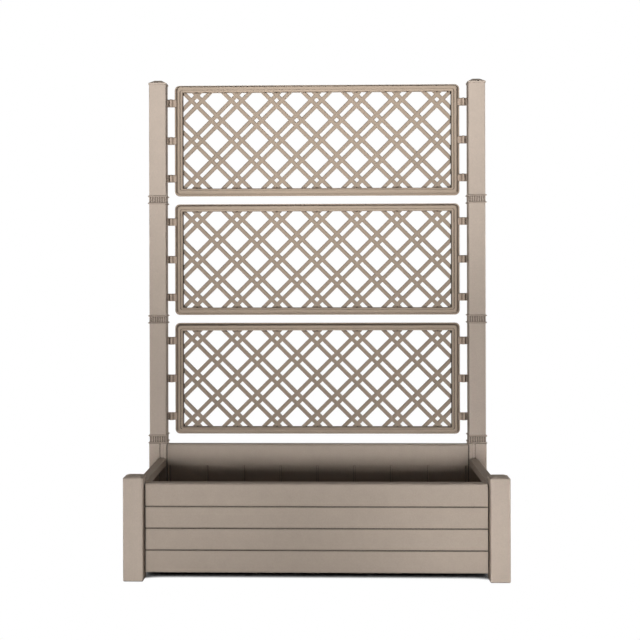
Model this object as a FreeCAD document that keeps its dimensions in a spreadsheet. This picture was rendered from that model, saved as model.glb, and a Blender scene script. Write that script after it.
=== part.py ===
import FreeCAD, Part
import math
import os

import Sketcher

# A metre-wide floor planter. Four moulded legs hold board-faced walls by tongue and groove,
# a ribbed floor lies on ledges inside, and a three-tier trellis stands on the rear legs:
# each tier is two hollow posts and one lattice panel, pegged together and stacked on fluted couplers.
# X runs to the right, Y to the back and Z up. The origin is on the ground, midway between the legs.

SIZES = {
    # The box over its legs
    "overall_width": 1000,
    "overall_depth": 430,
    # Legs
    "leg_side": 52,
    "leg_edge_bevel": 2.5,
    "leg_wall": 9,
    "leg_foot": 8,
    "foot_bevel": 2,
    "front_leg_height": 262,
    "rear_leg_height": 293,
    "groove_width": 12,
    "groove_depth": 7,
    # Caps on the front legs
    "leg_cap_rim": 5,
    "leg_cap_crown": 4,
    "leg_cap_slope": 9,
    "crown_step": 0.8,
    "cap_plug": 18,
    "cap_plug_wall": 3,
    # Walls of the box
    "panel_recess": 24,
    "panel_thickness": 27,
    "panel_wall": 7,
    "panel_bottom": 16.5,
    "panel_height": 232.5,
    "panel_end_gap": 2.7,
    "panel_end_wall": 4,
    "board_bevel_height": 3.5,
    "board_bevel_depth": 3.5,
    "lowest_board": 59,
    "board_pitch": 56.8,
    "board_slot_width": 3.6,
    "board_slot_depth": 5,
    "board_edge_height": 2,
    "board_edge_depth": 1.2,
    "rim_thickness": 4,
    "rim_lip": 20,
    "rim_lip_wall": 4,
    "ledge_height": 17.5,
    "ledge_reach": 14,
    "ledge_thickness": 5,
    "ledge_end_cut": 16,
    "wall_rib_thickness": 3,
    "wall_rib_setback": 3,
    "wall_rib_overlap": 1,
    "wall_rib_pitch": 110,
    # Rail above the rear wall
    "rail_wall": 4,
    "rail_top_gap": 2,
    # Floor
    "floor_thickness": 4,
    "floor_clearance": 2,
    "floor_rib_depth": 12,
    "floor_rib_thickness": 3,
    "floor_rib_pitch_x": 180,
    "floor_rib_pitch_y": 140,
    "drain_length": 30,
    "drain_width": 6,
    "drain_pitch_x": 290,
    "drain_pitch_y": 100,
    # Trellis posts
    "post_width": 50,
    "post_depth": 42,
    "post_wall": 3,
    "post_edge_bevel": 2.5,
    "post_length": 330.5,
    # Couplers between the posts
    "collar_height": 25.5,
    "collar_lip_height": 4.5,
    "collar_lip_reach": 3.4,
    "collar_lip_bevel": 2,
    "flute_width": 4.2,
    "flute_depth": 3.2,
    "flute_pitch": 6.9,
    "spigot_length": 36,
    "spigot_wall": 3,
    # Caps on the posts
    "post_cap_reach": 1.5,
    "post_cap_rim": 5,
    "post_cap_crown": 9,
    "post_cap_slope": 14,
    # Lattice panels
    "trellis_width": 848,
    "trellis_height": 332,
    "trellis_depth": 22,
    "frame_corner_radius": 14,
    "flange_width": 3.5,
    "flange_depth": 4.5,
    "slope_width": 5.5,
    "slope_drop": 17,
    "ridge_width": 5.5,
    "quirk_width": 4,
    "quirk_depth": 5,
    "lip_width": 4.5,
    "lip_setback": 1.5,
    "opening_bevel": 3,
    "quirk_bevel": 6,
    "ridge_bevel": 8.5,
    "channel_outer_inset": 9.5,
    "channel_inner_inset": 19,
    "channel_depth": 13,
    "lattice_pitch": 119.5,
    "bar_width": 11.4,
    "bar_gap": 11.2,
    "bar_thickness": 8,
    "bar_setback": 6,
    "bar_root": 1.5,
    # Pegs between posts and lattice panels
    "peg_height": 22.5,
    "peg_thickness": 8,
    "peg_pitch": 113,
    "peg_engagement": 8,
    "peg_back_margin": 2,
    "peg_bead_width": 14,
    "peg_bead_crown": 5,
    "peg_bead_reach": 7,
    "peg_bevel": 3,
    # Fits
    "tongue_clearance": 0.3,
    "spigot_clearance": 0.3,
    "plug_clearance": 0.3,
    "peg_clearance": 0.2,
    "end_clearance": 0.5,
    "overrun": 5,
}

BOARDS = 4
LONG_WALL_RIBS = 7
SHORT_WALL_RIBS = 2
FLOOR_RIBS_ACROSS = 5
FLOOR_RIBS_ALONG = 2
DRAINS_ALONG = 3
PEGS_PER_SIDE = 3
CELLS_ALONG = 8
CELLS_UP = 4
FLUTES_ACROSS = 7
FLUTES_ALONG = 5
TIERS = ("lower", "middle", "upper")
SIDES = (("left", -1), ("right", 1))

doc = FreeCAD.newDocument("TallPlanter")
dim = doc.addObject("Spreadsheet::Sheet", "Dim")
for row, (alias, size) in enumerate(SIZES.items(), start=1):
    dim.set(f"A{row}", alias)
    dim.set(f"B{row}", str(size))
    dim.setAlias(f"B{row}", alias)
doc.recompute()

nodes = []
copies = []


def value(expression):
    """The present value of an expression on the sheet, in millimetres."""
    return float(dim.evalExpression(expression))


def new_body(label):
    """A body that becomes a node of its own."""
    body = doc.addObject("PartDesign::Body", label)
    body.Label = label
    nodes.append(body)
    return body


def origin_part(body, role):
    """One of the body's own origin planes or axes."""
    return next(part for part in body.Origin.OriginFeatures if part.Role == role)


def new_sketch(body, role, lift="0"):
    """An empty sketch on an origin plane, lifted along the plane's normal."""
    sketch = body.newObject("Sketcher::SketchObject", "Outline")
    sketch.AttachmentSupport = [(origin_part(body, role), "")]
    sketch.MapMode = "FlatFace"
    sketch.setExpression("AttachmentOffset.Base.z", lift)
    return sketch


def arc_middle(start, end, radius):
    """The middle of the short arc that bulges to the right of the way from start to end."""
    chord = end - start
    left = FreeCAD.Vector(-chord.y, chord.x, 0).normalize()
    rise = radius - math.sqrt(max(radius ** 2 - (chord.Length / 2) ** 2, 0))
    return (start + end) / 2 - left * rise


def add_loop(sketch, corners):
    """Closes a loop through corners, anticlockwise.

    A corner is (x, y), or (x, y, radius) where an arc that bulges outwards leads to the next corner.
    """
    first = sketch.GeometryCount
    count = len(corners)
    points = [FreeCAD.Vector(value(corner[0]), value(corner[1]), 0) for corner in corners]
    starts = []
    ends = []
    for index, corner in enumerate(corners):
        start = points[index]
        end = points[(index + 1) % count]
        if len(corner) == 2:
            sketch.addGeometry(Part.LineSegment(start, end))
            starts.append(1)
        else:
            arc = Part.ArcOfCircle(start, arc_middle(start, end, value(corner[2])), end)
            sketch.addGeometry(arc)
            starts.append(1 if arc.StartPoint.isEqual(start, Part.Precision.confusion()) else 2)
        ends.append(3 - starts[-1])
    for index, corner in enumerate(corners):
        after = (index + 1) % count
        here = first + index
        sketch.addConstraint(
            Sketcher.Constraint("Coincident", here, ends[index], first + after, starts[after])
        )
        for kind, expression in (("DistanceX", corner[0]), ("DistanceY", corner[1])):
            place = Sketcher.Constraint(kind, -1, 1, here, starts[index], value(expression))
            sketch.setExpression(f"Constraints[{sketch.addConstraint(place)}]", expression)
        if len(corner) > 2:
            bend = Sketcher.Constraint("Radius", here, value(corner[2]))
            sketch.setExpression(f"Constraints[{sketch.addConstraint(bend)}]", corner[2])


def rectangle(left, low, right, high):
    """The corners of an upright rectangle."""
    return [(left, low), (right, low), (right, high), (left, high)]


def centred_rectangle(half_x, half_y):
    """The corners of a rectangle about the sketch's origin."""
    return rectangle(f"-({half_x})", f"-({half_y})", half_x, half_y)


def rounded_rectangle(half_x, half_y, radius):
    """The corners of a rectangle about the sketch's origin with rounded corners."""
    x, y, r = f"({half_x})", f"({half_y})", f"({radius})"
    return [
        (f"-{x} + {r}", f"-{y}"),
        (f"{x} - {r}", f"-{y}", radius),
        (x, f"-{y} + {r}"),
        (x, f"{y} - {r}", radius),
        (f"{x} - {r}", y),
        (f"-{x} + {r}", y, radius),
        (f"-{x}", f"{y} - {r}"),
        (f"-{x}", f"-{y} + {r}", radius),
    ]


def bevelled_rectangle(half_x, half_y, bevel):
    """The corners of a rectangle about the sketch's origin with its corners cut off at 45 degrees."""
    return [corner[:2] for corner in rounded_rectangle(half_x, half_y, bevel)]


def pad(body, sketch, length, both_ways=False):
    """Adds the sketch's area, along its normal or half to each side."""
    feature = body.newObject("PartDesign::Pad", "Pad")
    feature.Profile = sketch
    feature.setExpression("Length", length)
    if both_ways:
        feature.SideType = "Symmetric"
    doc.recompute()
    return feature


def pocket(body, sketch, length, upwards=False):
    """Cuts the sketch's area against its normal, or along it where upwards is set."""
    before = body.Tip.Shape.Volume
    feature = body.newObject("PartDesign::Pocket", "Pocket")
    feature.Profile = sketch
    feature.setExpression("Length", length)
    feature.Reversed = upwards
    doc.recompute()
    if feature.Shape.Volume >= before:
        raise RuntimeError(f"a pocket of {body.Label} cuts nothing")
    return feature


def edges_of(feature, wanted):
    """The names of a feature's edges that a test picks out."""
    return [f"Edge{n}" for n, edge in enumerate(feature.Shape.Edges, start=1) if wanted(edge)]


def runs_along(axis):
    """A test for straight edges along one axis: 0 is X, 1 is Y and 2 is Z."""
    def wanted(edge):
        if not isinstance(edge.Curve, Part.Line):
            return False
        return abs(abs(edge.Curve.Direction[axis]) - 1) < Part.Precision.angular()
    return wanted


def lies_at(axis, level):
    """A test for edges that lie wholly on one level of an axis."""
    def wanted(edge):
        low = (edge.BoundBox.XMin, edge.BoundBox.YMin, edge.BoundBox.ZMin)[axis]
        high = (edge.BoundBox.XMax, edge.BoundBox.YMax, edge.BoundBox.ZMax)[axis]
        near = level_tolerance()
        return abs(low - level) < near and abs(high - level) < near
    return wanted


def level_tolerance():
    """How far a box round an edge may stand off the edge itself."""
    return value("Dim.end_clearance") / 10


def starts_on_end(base, edge_names):
    """Whether the first face at an edge is the end that all these edges go round, and not a side."""
    edges = [base.getSubObject(name) for name in edge_names]
    first = next(face for face in base.Shape.Faces if any(part.isSame(edges[0]) for part in face.Edges))
    return all(any(part.isSame(edge) for part in first.Edges) for edge in edges)


def chamfer(body, base, edge_names, down, across=None):
    """Bevels edges of the base feature, down its sides and, if that differs, across its end."""
    feature = body.newObject("PartDesign::Chamfer", "Chamfer")
    feature.Base = (base, edge_names)
    feature.setExpression("Size", down)
    if across:
        feature.ChamferType = "Two distances"
        feature.setExpression("Size2", across)
        feature.FlipDirection = starts_on_end(base, edge_names)
    doc.recompute()
    return feature


def repeat(body, original, axis_role, length, count):
    """Repeats a feature in a row along an origin axis."""
    feature = body.newObject("PartDesign::LinearPattern", "Row")
    feature.Originals = [original]
    feature.Direction = (origin_part(body, axis_role), [""])
    feature.setExpression("Length", length)
    feature.Occurrences = count
    body.Tip = feature
    doc.recompute()
    return feature


def copy_of(label, original):
    """A node with the same shape as another one."""
    body = new_body(label)
    body.BaseFeature = original
    copies.append(body)
    doc.recompute()
    return body


def place(body, x, y, z, turn=0):
    """Puts a body at its place, turned about Z by a number of degrees."""
    body.Placement = FreeCAD.Placement(
        FreeCAD.Vector(), FreeCAD.Rotation(FreeCAD.Vector(0, 0, 1), turn)
    )
    for axis, expression in (("x", x), ("y", y), ("z", z)):
        body.setExpression(f"Placement.Base.{axis}", expression)


# Lines that several pieces share
LEG_X = "(Dim.overall_width - Dim.leg_side) / 2"
LEG_Y = "(Dim.overall_depth - Dim.leg_side) / 2"
HALF_LEG = "Dim.leg_side / 2"
LEG_BORE = "(Dim.leg_side / 2 - Dim.leg_wall)"
GROOVE_LINE = "(Dim.leg_side / 2 - Dim.panel_recess - Dim.panel_thickness / 2)"
PANEL_TOP = "(Dim.panel_bottom + Dim.panel_height)"
TONGUE_HALF = "(Dim.groove_width / 2 - Dim.tongue_clearance)"
TONGUE_REACH = "(Dim.panel_end_gap + Dim.groove_depth - Dim.end_clearance)"
LONG_WALL = "(Dim.overall_width - 2 * Dim.leg_side - 2 * Dim.panel_end_gap)"
SHORT_WALL = "(Dim.overall_depth - 2 * Dim.leg_side - 2 * Dim.panel_end_gap)"
WALL_X = "(Dim.overall_width / 2 - Dim.panel_recess)"
WALL_Y = "(Dim.overall_depth / 2 - Dim.panel_recess)"
TIER_PITCH = "(Dim.post_length + Dim.collar_height)"
PEG_GAP = "((Dim.overall_width - Dim.leg_side - Dim.post_width - Dim.trellis_width) / 2)"
POST_SPIGOT = (
    "(Dim.post_width / 2 - Dim.post_wall - Dim.spigot_clearance)",
    "(Dim.post_depth / 2 - Dim.post_wall - Dim.spigot_clearance)",
)
LEG_SPIGOT = (f"({LEG_BORE} - Dim.spigot_clearance)", f"({LEG_BORE} - Dim.spigot_clearance)")
PEG_Y = "(Dim.trellis_depth / 2 - Dim.peg_back_margin - Dim.peg_thickness / 2)"


def leg(label, height, side, face):
    """A hollow leg, closed at the foot, with one groove for each of the two walls that it holds."""
    body = new_body(label)
    outline = new_sketch(body, "XY_Plane")
    add_loop(outline, centred_rectangle(HALF_LEG, HALF_LEG))
    column = pad(body, outline, height)
    bevelled = chamfer(body, column, edges_of(column, runs_along(2)), "Dim.leg_edge_bevel")
    chamfer(body, bevelled, edges_of(bevelled, lies_at(2, 0)), "Dim.foot_bevel")
    bore = new_sketch(body, "XY_Plane", "Dim.leg_foot")
    add_loop(bore, centred_rectangle(LEG_BORE, LEG_BORE))
    pocket(body, bore, height, upwards=True)
    grooves = new_sketch(body, "XY_Plane", "Dim.panel_bottom")
    bottom, mouth = "(Dim.leg_side / 2 - Dim.groove_depth)", "(Dim.leg_side / 2 + Dim.overrun)"
    half = "Dim.groove_width / 2"
    near = sorted([f"{-side} * {bottom}", f"{-side} * {mouth}"], key=value)
    line = f"{face} * {GROOVE_LINE}"
    add_loop(grooves, rectangle(near[0], f"{line} - {half}", near[1], f"{line} + {half}"))
    near = sorted([f"{-face} * {bottom}", f"{-face} * {mouth}"], key=value)
    line = f"{side} * {GROOVE_LINE}"
    add_loop(grooves, rectangle(f"{line} - {half}", near[0], f"{line} + {half}", near[1]))
    pocket(body, grooves, height, upwards=True)
    place(body, f"{side} * {LEG_X}", f"{face} * {LEG_Y}", "0")


def crowned_cap(label, half_x, half_y, bevel, rim, crown, slope, plug_x, plug_y):
    """A cap with a low bevelled crown and a hollow plug that goes down into what it closes."""
    body = new_body(label)
    outline = new_sketch(body, "XY_Plane")
    add_loop(outline, bevelled_rectangle(half_x, half_y, bevel))
    pad(body, outline, rim)
    step = new_sketch(body, "XY_Plane", rim)
    add_loop(step, centred_rectangle(f"{half_x} - {bevel}", f"{half_y} - {bevel}"))
    block = pad(body, step, crown)
    top = value(f"{rim} + {crown}")
    chamfer(body, block, edges_of(block, lies_at(2, top)), f"{crown} - Dim.crown_step", slope)
    plug = new_sketch(body, "XY_Plane", "-Dim.cap_plug")
    add_loop(plug, centred_rectangle(plug_x, plug_y))
    inner_x, inner_y = f"{plug_x} - Dim.cap_plug_wall", f"{plug_y} - Dim.cap_plug_wall"
    add_loop(plug, centred_rectangle(inner_x, inner_y))
    pad(body, plug, "Dim.cap_plug")
    return body


def add_tongues(body, half_length, low, high):
    """End walls and the tongues that slide down the grooves of the legs, at both ends."""
    for end in (-1, 1):
        wall_from = f"{half_length} - Dim.panel_end_wall" if end > 0 else f"-{half_length}"
        wall = new_sketch(body, "YZ_Plane", wall_from)
        add_loop(wall, rectangle("Dim.panel_wall - Dim.wall_rib_overlap", low, "Dim.panel_thickness", high))
        pad(body, wall, "Dim.panel_end_wall")
        tongue_from = half_length if end > 0 else f"-{half_length} - {TONGUE_REACH}"
        tongue = new_sketch(body, "YZ_Plane", tongue_from)
        middle = "Dim.panel_thickness / 2"
        add_loop(tongue, rectangle(f"{middle} - {TONGUE_HALF}", low, f"{middle} + {TONGUE_HALF}", high))
        pad(body, tongue, TONGUE_REACH)


def wall(label, length, ribs, x, y, turn):
    """A board-faced wall: a ribbed skin with bevelled boards, a folded rim and a ledge for the floor."""
    body = new_body(label)
    profile = new_sketch(body, "YZ_Plane")
    face = [("Dim.board_bevel_depth", "0"), ("0", "Dim.board_bevel_height")]
    for board in range(BOARDS - 1):
        line = f"Dim.lowest_board + {board} * Dim.board_pitch"
        face.append(("0", f"{line} - Dim.board_slot_width / 2"))
        face.append(("Dim.board_slot_depth", f"{line} - Dim.board_slot_width / 2"))
        face.append(("Dim.board_slot_depth", f"{line} + Dim.board_slot_width / 2"))
        face.append(("Dim.board_edge_depth", f"{line} + Dim.board_slot_width / 2"))
        face.append(("0", f"{line} + Dim.board_slot_width / 2 + Dim.board_edge_height"))
    face.append(("0", "Dim.panel_height - Dim.board_bevel_height"))
    face.append(("Dim.board_bevel_depth", "Dim.panel_height"))
    lip = "Dim.panel_thickness - Dim.rim_lip_wall"
    ledge = "Dim.panel_thickness + Dim.ledge_reach"
    back = [
        ("Dim.panel_thickness", "Dim.panel_height"),
        ("Dim.panel_thickness", "Dim.panel_height - Dim.rim_lip"),
        (lip, "Dim.panel_height - Dim.rim_lip"),
        (lip, "Dim.panel_height - Dim.rim_thickness"),
        ("Dim.panel_wall", "Dim.panel_height - Dim.rim_thickness"),
        ("Dim.panel_wall", "Dim.ledge_height"),
        (ledge, "Dim.ledge_height"),
        (ledge, "Dim.ledge_height - Dim.ledge_thickness"),
        ("Dim.panel_wall", "Dim.ledge_height - Dim.ledge_thickness"),
        ("Dim.panel_wall", "0"),
    ]
    add_loop(profile, list(reversed(face + back)))
    pad(body, profile, length, both_ways=True)
    half_length = f"{length} / 2"
    trim = new_sketch(body, "XY_Plane")
    for end in (-1, 1):
        reach = sorted(
            [f"{end} * ({half_length} - Dim.ledge_end_cut)", f"{end} * ({half_length} + Dim.overrun)"],
            key=value,
        )
        add_loop(trim, rectangle(reach[0], "Dim.panel_thickness", reach[1], f"{ledge} + Dim.overrun"))
    pocket(body, trim, "Dim.ledge_height + Dim.overrun", upwards=True)
    rib_row = f"{ribs - 1} * Dim.wall_rib_pitch"
    rib = new_sketch(body, "YZ_Plane", f"-({rib_row} + Dim.wall_rib_thickness) / 2")
    rib_back = "Dim.panel_thickness - Dim.wall_rib_setback"
    rib_top = "Dim.panel_height - Dim.rim_thickness / 2"
    rib_foot = "Dim.ledge_height - Dim.ledge_thickness / 2"
    add_loop(rib, rectangle("Dim.panel_wall - Dim.wall_rib_overlap", rib_foot, rib_back, rib_top))
    repeat(body, pad(body, rib, "Dim.wall_rib_thickness"), "X_Axis", rib_row, ribs)
    add_tongues(body, half_length, "0", "Dim.panel_height")
    place(body, x, y, "Dim.panel_bottom", turn)


def rear_rail():
    """The rail that fills the taller rear legs' grooves above the rear wall, open underneath."""
    body = new_body("rear_rail")
    height = f"(Dim.rear_leg_height - Dim.rail_top_gap - {PANEL_TOP})"
    profile = new_sketch(body, "YZ_Plane")
    outside, inside = "Dim.rail_wall", "Dim.panel_thickness - Dim.rail_wall"
    add_loop(profile, [
        ("0", "0"),
        (outside, "0"),
        (outside, f"{height} - Dim.rail_wall"),
        (inside, f"{height} - Dim.rail_wall"),
        (inside, "0"),
        ("Dim.panel_thickness", "0"),
        ("Dim.panel_thickness", f"{height} - Dim.board_bevel_height"),
        ("Dim.panel_thickness - Dim.board_bevel_depth", height),
        ("Dim.board_bevel_depth", height),
        ("0", f"{height} - Dim.board_bevel_height"),
    ])
    pad(body, profile, LONG_WALL, both_ways=True)
    add_tongues(body, f"{LONG_WALL} / 2", "0", f"{height} - Dim.rail_wall")
    place(body, "0", WALL_Y, PANEL_TOP, 180)


def floor_panel():
    """The floor: a plate on the ledges, ribbed below and pierced by the drains."""
    body = new_body("floor_panel")
    half_x = f"({WALL_X} - Dim.panel_thickness - Dim.floor_clearance)"
    half_y = f"({WALL_Y} - Dim.panel_thickness - Dim.floor_clearance)"
    plate = new_sketch(body, "XY_Plane")
    add_loop(plate, centred_rectangle(half_x, half_y))
    pad(body, plate, "Dim.floor_thickness")
    rib_x = f"({half_x} - Dim.ledge_reach - Dim.floor_clearance)"
    rib_y = f"({half_y} - Dim.ledge_reach - Dim.floor_clearance)"
    rows = (
        ("X_Axis", FLOOR_RIBS_ACROSS, "Dim.floor_rib_pitch_x"),
        ("Y_Axis", FLOOR_RIBS_ALONG, "Dim.floor_rib_pitch_y"),
    )
    for axis, count, pitch in rows:
        row = f"({count - 1} * {pitch})"
        low, high = f"-({row} + Dim.floor_rib_thickness) / 2", f"-({row} - Dim.floor_rib_thickness) / 2"
        rib = new_sketch(body, "XY_Plane", "-Dim.floor_rib_depth")
        if axis == "X_Axis":
            add_loop(rib, rectangle(low, f"-{rib_y}", high, rib_y))
        else:
            add_loop(rib, rectangle(f"-{rib_x}", low, rib_x, high))
        repeat(body, pad(body, rib, "Dim.floor_rib_depth"), axis, row, count)
    drains = new_sketch(body, "XY_Plane")
    for column in range(DRAINS_ALONG):
        for row in (-1, 1):
            x, y = f"{column - (DRAINS_ALONG - 1) / 2} * Dim.drain_pitch_x", f"{row} * Dim.drain_pitch_y / 2"
            add_loop(drains, rectangle(
                f"{x} - Dim.drain_length / 2", f"{y} - Dim.drain_width / 2",
                f"{x} + Dim.drain_length / 2", f"{y} + Dim.drain_width / 2",
            ))
    pocket(body, drains, "Dim.floor_thickness", upwards=True)
    place(body, "0", "0", "Dim.panel_bottom + Dim.ledge_height")


def tier_foot(tier):
    """The level of the foot of a tier's posts."""
    return f"Dim.rear_leg_height + Dim.collar_height + {tier} * {TIER_PITCH}"


def peg_levels(middle):
    """The levels of the pegs on one side of a lattice panel, about its middle."""
    return [f"{middle} + {n - (PEGS_PER_SIDE - 1) / 2} * Dim.peg_pitch" for n in range(PEGS_PER_SIDE)]


def add_peg_holes(sketch, middle):
    """The outlines of the sockets for one side's pegs, a little larger than the pegs."""
    reach_y = "(Dim.peg_thickness / 2 + Dim.peg_clearance)"
    reach_z = "(Dim.peg_height / 2 + Dim.peg_clearance)"
    for level in peg_levels(middle):
        low, high = f"{level} - {reach_z}", f"{level} + {reach_z}"
        add_loop(sketch, rectangle(f"{PEG_Y} - {reach_y}", low, f"{PEG_Y} + {reach_y}", high))


def post(label, side, tier):
    """One length of hollow post, with a socket for each peg in the wall that faces the lattice."""
    body = new_body(label)
    outline = new_sketch(body, "XY_Plane")
    add_loop(outline, bevelled_rectangle("Dim.post_width / 2", "Dim.post_depth / 2", "Dim.post_edge_bevel"))
    inner_x, inner_y = "Dim.post_width / 2 - Dim.post_wall", "Dim.post_depth / 2 - Dim.post_wall"
    add_loop(outline, centred_rectangle(inner_x, inner_y))
    pad(body, outline, "Dim.post_length")
    sockets = new_sketch(body, "YZ_Plane")
    add_peg_holes(sockets, "Dim.post_length / 2")
    pocket(body, sockets, "Dim.post_width", upwards=side < 0)
    place(body, f"{side} * {LEG_X}", LEG_Y, tier_foot(tier))


def coupler(label, lower):
    """A fluted collar between two lips, with a hollow spigot up into a post and one down.

    The half sizes of the lower spigot are given, since the lowest couplers stand in the rear legs.
    """
    body = new_body(label)
    half_x, half_y = "Dim.post_width / 2", "Dim.post_depth / 2"
    band = new_sketch(body, "XY_Plane")
    add_loop(band, centred_rectangle(half_x, half_y))
    pad(body, band, "Dim.collar_height")
    flute_height = "Dim.collar_height - 2 * Dim.collar_lip_height"
    for axis, count in (("X_Axis", FLUTES_ACROSS), ("Y_Axis", FLUTES_ALONG)):
        row = f"({count - 1} * Dim.flute_pitch)"
        middle = f"-{row} / 2"
        flute = new_sketch(body, "XY_Plane", "Dim.collar_lip_height")
        for face in (-1, 1):
            half = half_y if axis == "X_Axis" else half_x
            vee = [
                (middle, f"{face} * ({half} - Dim.flute_depth)"),
                (f"{middle} + {face} * Dim.flute_width / 2", f"{face} * {half}"),
                (f"{middle} - {face} * Dim.flute_width / 2", f"{face} * {half}"),
            ]
            add_loop(flute, vee if axis == "X_Axis" else [corner[::-1] for corner in reversed(vee)])
        repeat(body, pocket(body, flute, flute_height, upwards=True), axis, row, count)
    for level in ("0", "Dim.collar_height - Dim.collar_lip_height"):
        lip = new_sketch(body, "XY_Plane", level)
        reach_x, reach_y = f"{half_x} + Dim.collar_lip_reach", f"{half_y} + Dim.collar_lip_reach"
        add_loop(lip, centred_rectangle(reach_x, reach_y))
        ring = pad(body, lip, "Dim.collar_lip_height")
        outer = value(f"{half_x} + Dim.collar_lip_reach"), value(f"{half_y} + Dim.collar_lip_reach")
        levels = value(level), value(f"{level} + Dim.collar_lip_height")
        rims = [
            name
            for height in levels
            for name in edges_of(ring, lies_at(2, height))
            if on_rim(ring.getSubObject(name), outer)
        ]
        chamfer(body, ring, rims, "Dim.collar_lip_bevel")
    for (reach_x, reach_y), level in ((POST_SPIGOT, "Dim.collar_height"), (lower, "-Dim.spigot_length")):
        spigot = new_sketch(body, "XY_Plane", level)
        add_loop(spigot, centred_rectangle(reach_x, reach_y))
        pad(body, spigot, "Dim.spigot_length")
    bore_x = min(POST_SPIGOT[0], lower[0], key=value)
    bore_y = min(POST_SPIGOT[1], lower[1], key=value)
    bore = new_sketch(body, "XY_Plane", "-Dim.spigot_length")
    add_loop(bore, centred_rectangle(f"{bore_x} - Dim.spigot_wall", f"{bore_y} - Dim.spigot_wall"))
    pocket(body, bore, "2 * Dim.spigot_length + Dim.collar_height", upwards=True)
    return body


def on_rim(edge, outer):
    """Whether an edge lies on the rim of a rectangle of these half sizes."""
    box = edge.BoundBox
    near = level_tolerance()
    along_x = abs(abs(box.XMin) - outer[0]) < near and abs(box.XMax - box.XMin) < near
    along_y = abs(abs(box.YMin) - outer[1]) < near and abs(box.YMax - box.YMin) < near
    return along_x or along_y


def lattice_plate(body, half_w, half_h):
    """Paired diagonal bars: a plate pierced by one cell of openings, repeated along X and Z.

    Two pairs cross at every corner and in the middle of the square cell. Each crossing leaves a small
    diamond, four pairs enclose a large diamond, and a slot runs between neighbouring crossings.
    """
    front = "(Dim.trellis_depth / 2 - Dim.bar_setback)"
    plate = new_sketch(body, "XZ_Plane", f"{front} - Dim.bar_thickness")
    add_loop(plate, centred_rectangle(f"{half_w} + Dim.bar_root", f"{half_h} + Dim.bar_root"))
    pad(body, plate, "Dim.bar_thickness")
    cell = new_sketch(body, "XZ_Plane", front)
    pitch, gap = "Dim.lattice_pitch", "Dim.bar_gap"
    side = f"({pitch} / sqrt(2) - 2 * Dim.bar_width - {gap})"
    left, low = f"-{CELLS_ALONG / 2} * {pitch}", f"-{CELLS_UP / 2} * {pitch}"
    long_leg, short_leg = f"({side} + {gap}) / sqrt(8)", f"({side} - {gap}) / sqrt(8)"
    diamonds = ((0, 0, gap), (2, 2, gap), (2, 0, side), (0, 2, side))
    for across, up, edge in diamonds:
        x, z = f"{left} + {across} * {pitch} / 4", f"{low} + {up} * {pitch} / 4"
        reach = f"{edge} / sqrt(2)"
        right, left_tip = (f"{x} + {reach}", z), (f"{x} - {reach}", z)
        add_loop(cell, [right, (x, f"{z} + {reach}"), left_tip, (x, f"{z} - {reach}")])
    slots = ((1, 1, 1), (3, 3, 1), (1, 3, -1), (3, 1, -1))
    for across, up, lean in slots:
        x, z = f"{left} + {across} * {pitch} / 4", f"{low} + {up} * {pitch} / 4"
        corners = [
            (f"{x} + {lean} * {long_leg}", f"{z} + {short_leg}"),
            (f"{x} + {lean} * {short_leg}", f"{z} + {long_leg}"),
            (f"{x} - {lean} * {long_leg}", f"{z} - {short_leg}"),
            (f"{x} - {lean} * {short_leg}", f"{z} - {long_leg}"),
        ]
        add_loop(cell, corners[::lean])
    openings = pocket(body, cell, "Dim.bar_thickness")
    lattice = body.newObject("PartDesign::MultiTransform", "Lattice")
    rows = []
    for axis, count in (("X_Axis", CELLS_ALONG), ("Z_Axis", CELLS_UP)):
        row = doc.addObject("PartDesign::LinearPattern", "Cells")
        row.Direction = (origin_part(body, axis), [""])
        row.setExpression("Length", f"{count - 1} * {pitch}")
        row.Occurrences = count
        rows.append(row)
    lattice.Originals = [openings]
    lattice.Transformations = rows
    body.Tip = lattice
    doc.recompute()


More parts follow.
